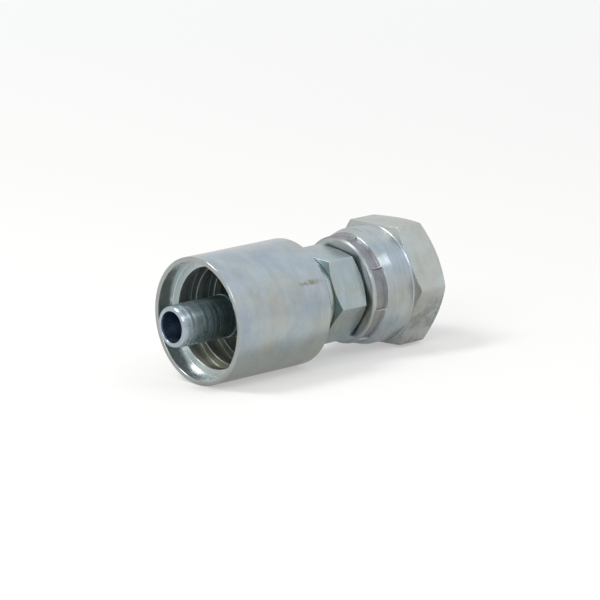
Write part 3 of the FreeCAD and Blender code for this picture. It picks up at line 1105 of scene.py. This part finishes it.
def stem_marks(graph, place, shown, rough):
    """The ringed nipple with painted shade the further it is inside the shell, painted shade in the flow
    bore, and painted shade on the hexagon's chamfers.
    """
    finish = bpy.context.scene.fitting_finish
    sizes = bpy.context.scene.fitting_stem
    x, radius, _, _ = ring_coordinates(graph, place)
    nipple_top = sizes.nipple + sizes.collar_height * 2
    nipple = graph.between(radius, 0.0, nipple_top, SOFT)
    bore = graph.between(radius, 0.0, sizes.bore + 2 * SOFT, SOFT)
    nipple_shade = graph.ramp(x, NIPPLE_SHADE_FROM, NIPPLE_SHADE_TO) * nipple
    matt = graph.ramp(x, STEM_LOW.x + RINGS_FROM, STEM_LOW.x + RINGS_TO) * nipple
    turned = graph.term("ShaderNodeAttribute", "Fac", attribute_name="chamfer")
    ridges = ring_noise(graph, place, across=2600.0, around=140.0, roughness=0.7)
    # painted shade on the nipple inside the shell
    shown = graph.mix(nipple_shade, shown, finish.nipple_shade)
    # painted shade in the flow bore
    shown = graph.mix(bore, shown, finish.bore)
    shown = graph.mix(matt, shown, graph.shade(shown, graph.spread(ridges, 0.72, 1.3)))
    # painted shade on the hexagon's chamfers, which reflect the shaded back of the shell
    shown = graph.cover(shown, finish.chamfer, turned, 0.75)
    turned_rough, matt_rough, ridge_height = 0.25, 0.05, 9.0
    rough = rough + turned * turned_rough + matt * matt_rough
    return shown, rough, ridges * (matt * ridge_height)


def nut_marks(graph, place, shown, rough):
    """The pressed zinc is purple grey and matt, and the wrench flats are handled, lighter as painted
    light, and darker below, partly dirt and partly painted shade.
    """
    finish = bpy.context.scene.fitting_finish
    pressed = graph.term("ShaderNodeAttribute", "Fac", attribute_name="pressed")
    x, radius, _, z = ring_coordinates(graph, place)
    back = NUT_LOW.x

    # the dies also rubbed the upper part of the back rim
    rim = graph.between(x, back + RIM_START, back + RIM_END, SOFTER)
    upper = graph.ramp(z, 3.2 * MM, 4.2 * MM) * graph.ramp(radius, 7.6 * MM, 7.8 * MM)
    pressed = graph.most(pressed, rim * upper)
    patchy = graph.noise(place, 500.0, detail=4.0, roughness=0.6)
    # the pressed tone is stronger higher up on the nut
    stronger_higher = graph.line(z, -6.0 * MM, 5.0 * MM, 0.6, 1.0)
    amount = pressed * graph.line(patchy, 0.35, 0.65, 0.55, 0.95) * stronger_higher

    # the body is streaked, and the flats are handled, lighter as painted light, and darker below, partly
    # dirt and partly painted shade
    flats = graph.ramp(x, back + FLATS_FROM, back + FLATS_TO)
    streaks = ring_noise(graph, place, across=1500.0, around=130.0, roughness=0.65)
    handled = graph.noise(place, 210.0, detail=5.0, roughness=0.65)
    milled = graph.cover(finish.milled, finish.warm, graph.ramp(handled, 0.40, 0.62), 0.85)
    low_patches = graph.noise(place, 330.0, detail=5.0, roughness=0.7)
    low_shade_share, pressed_rough = 0.6, 0.12
    # painted shade low on the flats, broken into patches
    below = graph.ramp(z, -0.5 * MM, -2.5 * MM) * (graph.ramp(low_patches, 0.38, 0.66) * low_shade_share)
    shown = graph.shade(shown, graph.spread(streaks, 0.88, 1.12))
    # painted light on the wrench flats, with handled warm patches
    shown = graph.cover(shown, milled, flats, 0.75)
    shown = graph.mix(below * flats, shown, finish.grime)
    shown = graph.mix(amount, shown, finish.die)
    return shown, rough + pressed * pressed_rough, 0.0


def on_chamfer(point, following, sizes, start, end):
    """Whether a run of the outline lies on one of a hexagon's chamfers."""
    low, high = min(point.x, following.x), max(point.x, following.x)
    along = low > start - NEAR_HEXAGON and high < end + NEAR_HEXAGON
    outside = max(point.y, following.y) > sizes.flats / 2
    return along and outside and abs(point.y - following.y) > STEEP_RISE


class FITTING_OT_shell(bpy.types.Operator):
    """Turn the crimp shell with its ring teeth"""

    bl_idname = "fitting.shell"
    bl_label = "Crimp shell"

    def execute(self, context):
        sizes = context.scene.fitting_shell
        material = zinc(
            "Plated sleeve", context.scene.fitting_finish.shell, shell_marks, rings=5200.0,
            roughness=0.175, ring_height=0.30, warmth=0.55, grime=0.10,
        )
        piece = turned_piece("shell", shell_corners(sizes), sizes, material)
        settle(piece)
        handover(piece, "stem_and_shell", "crimp_shell")
        return {"FINISHED"}


class FITTING_OT_stem(bpy.types.Operator):
    """Turn the hose stem and mill its hexagon"""

    bl_idname = "fitting.stem"
    bl_label = "Hose stem"

    def execute(self, context):
        sizes = context.scene.fitting_stem
        material = zinc(
            "Stem zinc", context.scene.fitting_finish.stem, stem_marks, rings=7000.0,
            roughness=0.25, ring_height=0.50, warmth=0.50, grime=0.14,
        )
        hex_start = SHELL_HIGH.x + sizes.neck_length
        hex_end = hex_start + sizes.hexagon

        def spacing(point, following):
            """Fine rows on the hexagon's chamfers, so that their curved edges come out clean."""
            chamfer = on_chamfer(point, following, sizes, hex_start, hex_end)
            return STEM_CHAMFER_ROWS if chamfer else 0

        piece = turned_piece("stem", stem_corners(sizes), sizes, material, spacing)
        add_form(
            piece, "Wrench flats", flats_tree, across_flats=sizes.flats, turn=sizes.hexagon_turn,
            start=hex_start + MILL_MARGIN, end=hex_end - MILL_MARGIN, softness=0.01 * MM,
            line_width=0.12 * MM, line_strength=0.15, material=material,
        )
        settle(piece)
        handover(piece, "stem_and_shell", "hose_stem")
        return {"FINISHED"}


class FITTING_OT_nut(bpy.types.Operator):
    """Turn the swivel nut, mill its hexagon and press the die marks"""

    bl_idname = "fitting.nut"
    bl_label = "Swivel nut"

    def execute(self, context):
        sizes = context.scene.fitting_nut
        material = zinc(
            "Nut zinc", context.scene.fitting_finish.nut, nut_marks, rings=4200.0,
            roughness=0.31, ring_height=1.30, warmth=0.45, grime=0.12,
        )
        hex_start = NUT_LOW.x + sizes.hexagon_from_back
        skirt_end = NUT_LOW.x + sizes.body_start

        def spacing(point, following):
            """Fine rows where the dies press and on the chamfers."""
            outside = min(point.y, following.y) > sizes.lip + DIE_REACH
            if outside and max(point.x, following.x) < skirt_end:
                return DIE_ROWS
            chamfer = on_chamfer(point, following, sizes, hex_start, NUT_HIGH.x)
            return NUT_CHAMFER_ROWS if chamfer else 0

        corners = nut_corners(sizes, context.scene.fitting_thread)
        piece = turned_piece("nut", corners, sizes, material, spacing)
        add_form(
            piece, "Wrench flats", flats_tree, across_flats=sizes.flats, turn=0.0,
            start=hex_start + MILL_MARGIN, end=NUT_HIGH.x - MILL_MARGIN, softness=0.06 * MM,
            line_width=0.2 * MM, line_strength=0.5, material=material,
        )
        add_form(
            piece, "Die marks", dies_tree, dies=sizes.dies, first_ridge=sizes.die_start,
            ridge_width=sizes.die_ridge, floor_radius=sizes.skirt - sizes.die_depth,
            place=NUT_LOW.x + sizes.die_from_back, width=sizes.die_width,
            shift=sizes.die_shift, side_slope=5.0, unevenness=0.1 * MM, softness=0.05 * MM,
            burr=0.12 * MM, material=material,
        )
        settle(piece)
        handover(piece, "nut", "swivel_nut")
        return {"FINISHED"}


class FITTING_OT_thread(bpy.types.Operator):
    """Wind the thread inside the nut"""

    bl_idname = "fitting.thread"
    bl_label = "Nut thread"

    def execute(self, context):
        sizes = context.scene.fitting_thread
        material = bpy.data.materials["Nut zinc"]
        half_base = sizes.pitch * 7 / 16
        half_top = sizes.pitch / 8
        sunk = sizes.outer + 0.08 * MM
        top_edge = 0.05 * MM
        corners = [
            (-half_base, sunk, 0.0),
            (-half_base, sizes.outer, 0.0),
            (-half_top, sizes.inner, top_edge),
            (half_top, sizes.inner, top_edge),
            (half_base, sizes.outer, 0.0),
            (half_base, sunk, 0.0),
        ]
        piece = outline_object("nut_thread", corners)
        start = NUT_HIGH.x - sizes.from_front
        turns = (sizes.from_front - sizes.pitch / 4) / sizes.pitch
        add_form(
            piece, "Wound thread", thread_tree, segments=round(turns * sizes.segments),
            turns=turns, pitch=sizes.pitch, wall_radius=sizes.outer + 0.04 * MM,
            run_out=sizes.run_out, cone_place=NUT_HIGH.x - start,
            cone_radius=context.scene.fitting_nut.mouth, material=material,
        )
        settle(piece)
        piece.data.transform(Matrix.Translation((start, 0.0, 0.0)))
        handover(piece, "nut", None)
        return {"FINISHED"}


# Where each lamp stands as seen from the object: its azimuth and elevation in degrees
KEY_WAY = (-122.0, 58.0)
SIDE_WAY = (-62.0, 32.0)
FRONT_WAY = (8.0, 50.0)


class FITTING_OT_stage(bpy.types.Operator):
    """Lay the pale floor and set the soft lamps and the camera"""

    bl_idname = "fitting.stage"
    bl_label = "Floor, lamps and camera"

    def execute(self, context):
        sizes = context.scene.fitting_stage
        make_floor(sizes, context.scene.fitting_finish.floor)
        make_sky(sizes, context.scene.fitting_finish.sky)
        for name, way, width, height, power in (
            ("Key lamp", KEY_WAY, sizes.key_width, sizes.key_width, sizes.key_power),
            ("Side lamp", SIDE_WAY, sizes.side_width, sizes.side_height, sizes.side_power),
            ("Front lamp", FRONT_WAY, sizes.front_width, sizes.front_height, sizes.front_power),
        ):
            make_lamp(name, direction(*way), sizes.lamp_distance, (width, height), power)
        make_camera()
        context.scene.view_settings.view_transform = "Standard"
        return {"FINISHED"}


def light_path(graph):
    """Whether the camera looks at the surface, and whether a mirror or a glass does."""
    kinds = graph.terms(graph.node("ShaderNodeLightPath"))
    mirrored = graph.math("ADD", kinds["Is Glossy Ray"], kinds["Is Transmission Ray"], clamp=True)
    return kinds["Is Camera Ray"], mirrored


# The floor turns white from here, in metres from the object, to this many lamp distances
WHITE_FROM = 0.1
WHITE_TO = 1.6


def make_floor(sizes, tone):
    """A pale floor that shows white in the open and keeps the object's shadow."""
    reach = sizes.floor_reach
    corners = ((-reach, -reach), (reach, -reach), (reach, reach), (-reach, reach))
    mesh = bpy.data.meshes.new("floor")
    mesh.from_pydata([(x, y, CAD_LOW.z) for x, y in corners], [], [(0, 1, 2, 3)])
    floor = bpy.data.objects.new("floor", mesh)
    bpy.context.scene.collection.objects.link(floor)
    material = bpy.data.materials.new("Pale floor")
    graph = empty_graph(material)
    # the floor is whiter further out, where the lamps reach it less
    x, y, _ = graph.parts(graph.term("ShaderNodeTexCoord", "Object"))
    outer = graph.ramp(graph.distance(x, y), WHITE_FROM, sizes.lamp_distance * WHITE_TO)
    matt = graph.node("ShaderNodeBsdfDiffuse", {"Color": graph.mix(outer, tone, WHITE)})
    by_camera, mirrored = light_path(graph)
    lift = by_camera * sizes.floor_lift + mirrored * sizes.floor_shine
    glow = graph.node("ShaderNodeEmission", {"Color": WHITE, "Strength": lift})
    both = graph.node("ShaderNodeAddShader", {0: matt, 1: glow})
    graph.node("ShaderNodeOutputMaterial", {"Surface": both})
    mesh.materials.append(material)


def make_sky(sizes, tone):
    """Even cool white surroundings, which the metal shows."""
    world = bpy.data.worlds.new("White surroundings")
    bpy.context.scene.world = world
    graph = empty_graph(world)
    _, _, up = graph.parts(graph.term("ShaderNodeTexCoord", "Object"))
    by_camera, mirrored = light_path(graph)
    seen = graph.math("ADD", by_camera, mirrored, clamp=True)
    level = graph.line(up, 0.0, sizes.horizon_rise, sizes.horizon, 1.0)
    strength = graph.node("ShaderNodeMix", {0: seen, 2: sizes.sky, 3: level})
    tint = graph.mix(graph.ramp(up, 0.0, sizes.horizon_rise), WHITE, tone)
    sky = graph.node("ShaderNodeBackground", {"Color": tint, "Strength": strength})
    graph.node("ShaderNodeOutputWorld", {"Surface": sky})


def direction(azimuth, elevation):
    """The unit vector from the object towards that azimuth and elevation, in degrees."""
    around, above = math.radians(azimuth), math.radians(elevation)
    return Vector((
        math.sin(around) * math.cos(above), -math.cos(around) * math.cos(above), math.sin(above),
    ))


def make_lamp(name, way, distance, size, power):
    """A soft lamp of that width and height, that way from the object and facing it."""
    lamp = bpy.data.lights.new(name, "AREA")
    lamp.shape = "RECTANGLE"
    lamp.size, lamp.size_y = size
    lamp.energy = power
    holder = bpy.data.objects.new(name, lamp)
    bpy.context.scene.collection.objects.link(holder)
    holder.location = (CAD_LOW + CAD_HIGH) / 2 + way * distance
    holder.rotation_mode = "QUATERNION"
    holder.rotation_quaternion = (-way).to_track_quat("-Z", "Y")


# The camera as it stood for the photograph: its way round the object in degrees, its distance
# in metres, its focal length in pixels, and the pixel at which the shell's mouth has its middle
PHOTO_WIDTH = 600
CAMERA_AZIMUTH = -41.534
CAMERA_ELEVATION = 12.52
CAMERA_ROLL = -1.716
CAMERA_DEPTH = 0.522552
CAMERA_FOCAL = 3435.551
MOUTH_PIXEL = (196.704, 321.649)


def make_camera():
    """The camera at the photograph's angle, framed as 600 by 600 pixels."""
    lens = bpy.data.cameras.new("Camera")
    camera = bpy.data.objects.new("Camera", lens)
    bpy.context.scene.collection.objects.link(camera)
    lens.sensor_width = 36.0
    lens.lens = lens.sensor_width * CAMERA_FOCAL / PHOTO_WIDTH
    back = direction(CAMERA_AZIMUTH, CAMERA_ELEVATION)
    around = math.radians(CAMERA_AZIMUTH)
    level_right = Vector((math.cos(around), math.sin(around), 0.0))
    level_up = back.cross(level_right)
    roll = math.radians(CAMERA_ROLL)
    right = math.cos(roll) * level_right + math.sin(roll) * level_up
    up = math.cos(roll) * level_up - math.sin(roll) * level_right
    off_right = (MOUTH_PIXEL[0] - PHOTO_WIDTH / 2) / CAMERA_FOCAL * CAMERA_DEPTH
    off_up = (PHOTO_WIDTH / 2 - MOUTH_PIXEL[1]) / CAMERA_FOCAL * CAMERA_DEPTH
    turn = Matrix((right, up, back)).transposed()
    camera.matrix_world = turn.to_4x4()
    camera.location = back * CAMERA_DEPTH - right * off_right - up * off_up
    lens.clip_start = 0.01
    lens.clip_end = 20.0
    bpy.context.scene.camera = camera


class FITTING_PT_panel(bpy.types.Panel):
    """The steps that make the fitting"""

    bl_idname = "FITTING_PT_panel"
    bl_label = "Hose fitting"
    bl_space_type = "VIEW_3D"
    bl_region_type = "UI"
    bl_category = "Hose fitting"

    def draw(self, context):
        for operator in OPERATORS:
            self.layout.operator(operator.bl_idname)
        for name in GROUPS:
            box = self.layout.box()
            group = getattr(context.scene, name)
            for size in group.bl_rna.properties.keys():
                if size not in {"rna_type", "name"}:
                    box.prop(group, size, text=size.replace("_", " ").capitalize())


GROUPS = {
    "fitting_shell": ShellSizes,
    "fitting_stem": StemSizes,
    "fitting_nut": NutSizes,
    "fitting_thread": ThreadSizes,
    "fitting_finish": Finish,
    "fitting_stage": StageSizes,
}
OPERATORS = (
    FITTING_OT_shell, FITTING_OT_stem, FITTING_OT_nut, FITTING_OT_thread, FITTING_OT_stage,
)


def register():
    for name, group in GROUPS.items():
        bpy.utils.register_class(group)
        setattr(bpy.types.Scene, name, bpy.props.PointerProperty(type=group))
    for operator in OPERATORS:
        bpy.utils.register_class(operator)
    bpy.utils.register_class(FITTING_PT_panel)


def unregister():
    bpy.utils.unregister_class(FITTING_PT_panel)
    for operator in reversed(OPERATORS):
        bpy.utils.unregister_class(operator)
    for name, group in reversed(GROUPS.items()):
        delattr(bpy.types.Scene, name)
        bpy.utils.unregister_class(group)


def main():
    register()
    bpy.ops.fitting.shell()
    bpy.ops.fitting.stem()
    bpy.ops.fitting.nut()
    bpy.ops.fitting.thread()
    bpy.ops.fitting.stage()


if __name__ == "__main__":
    main()
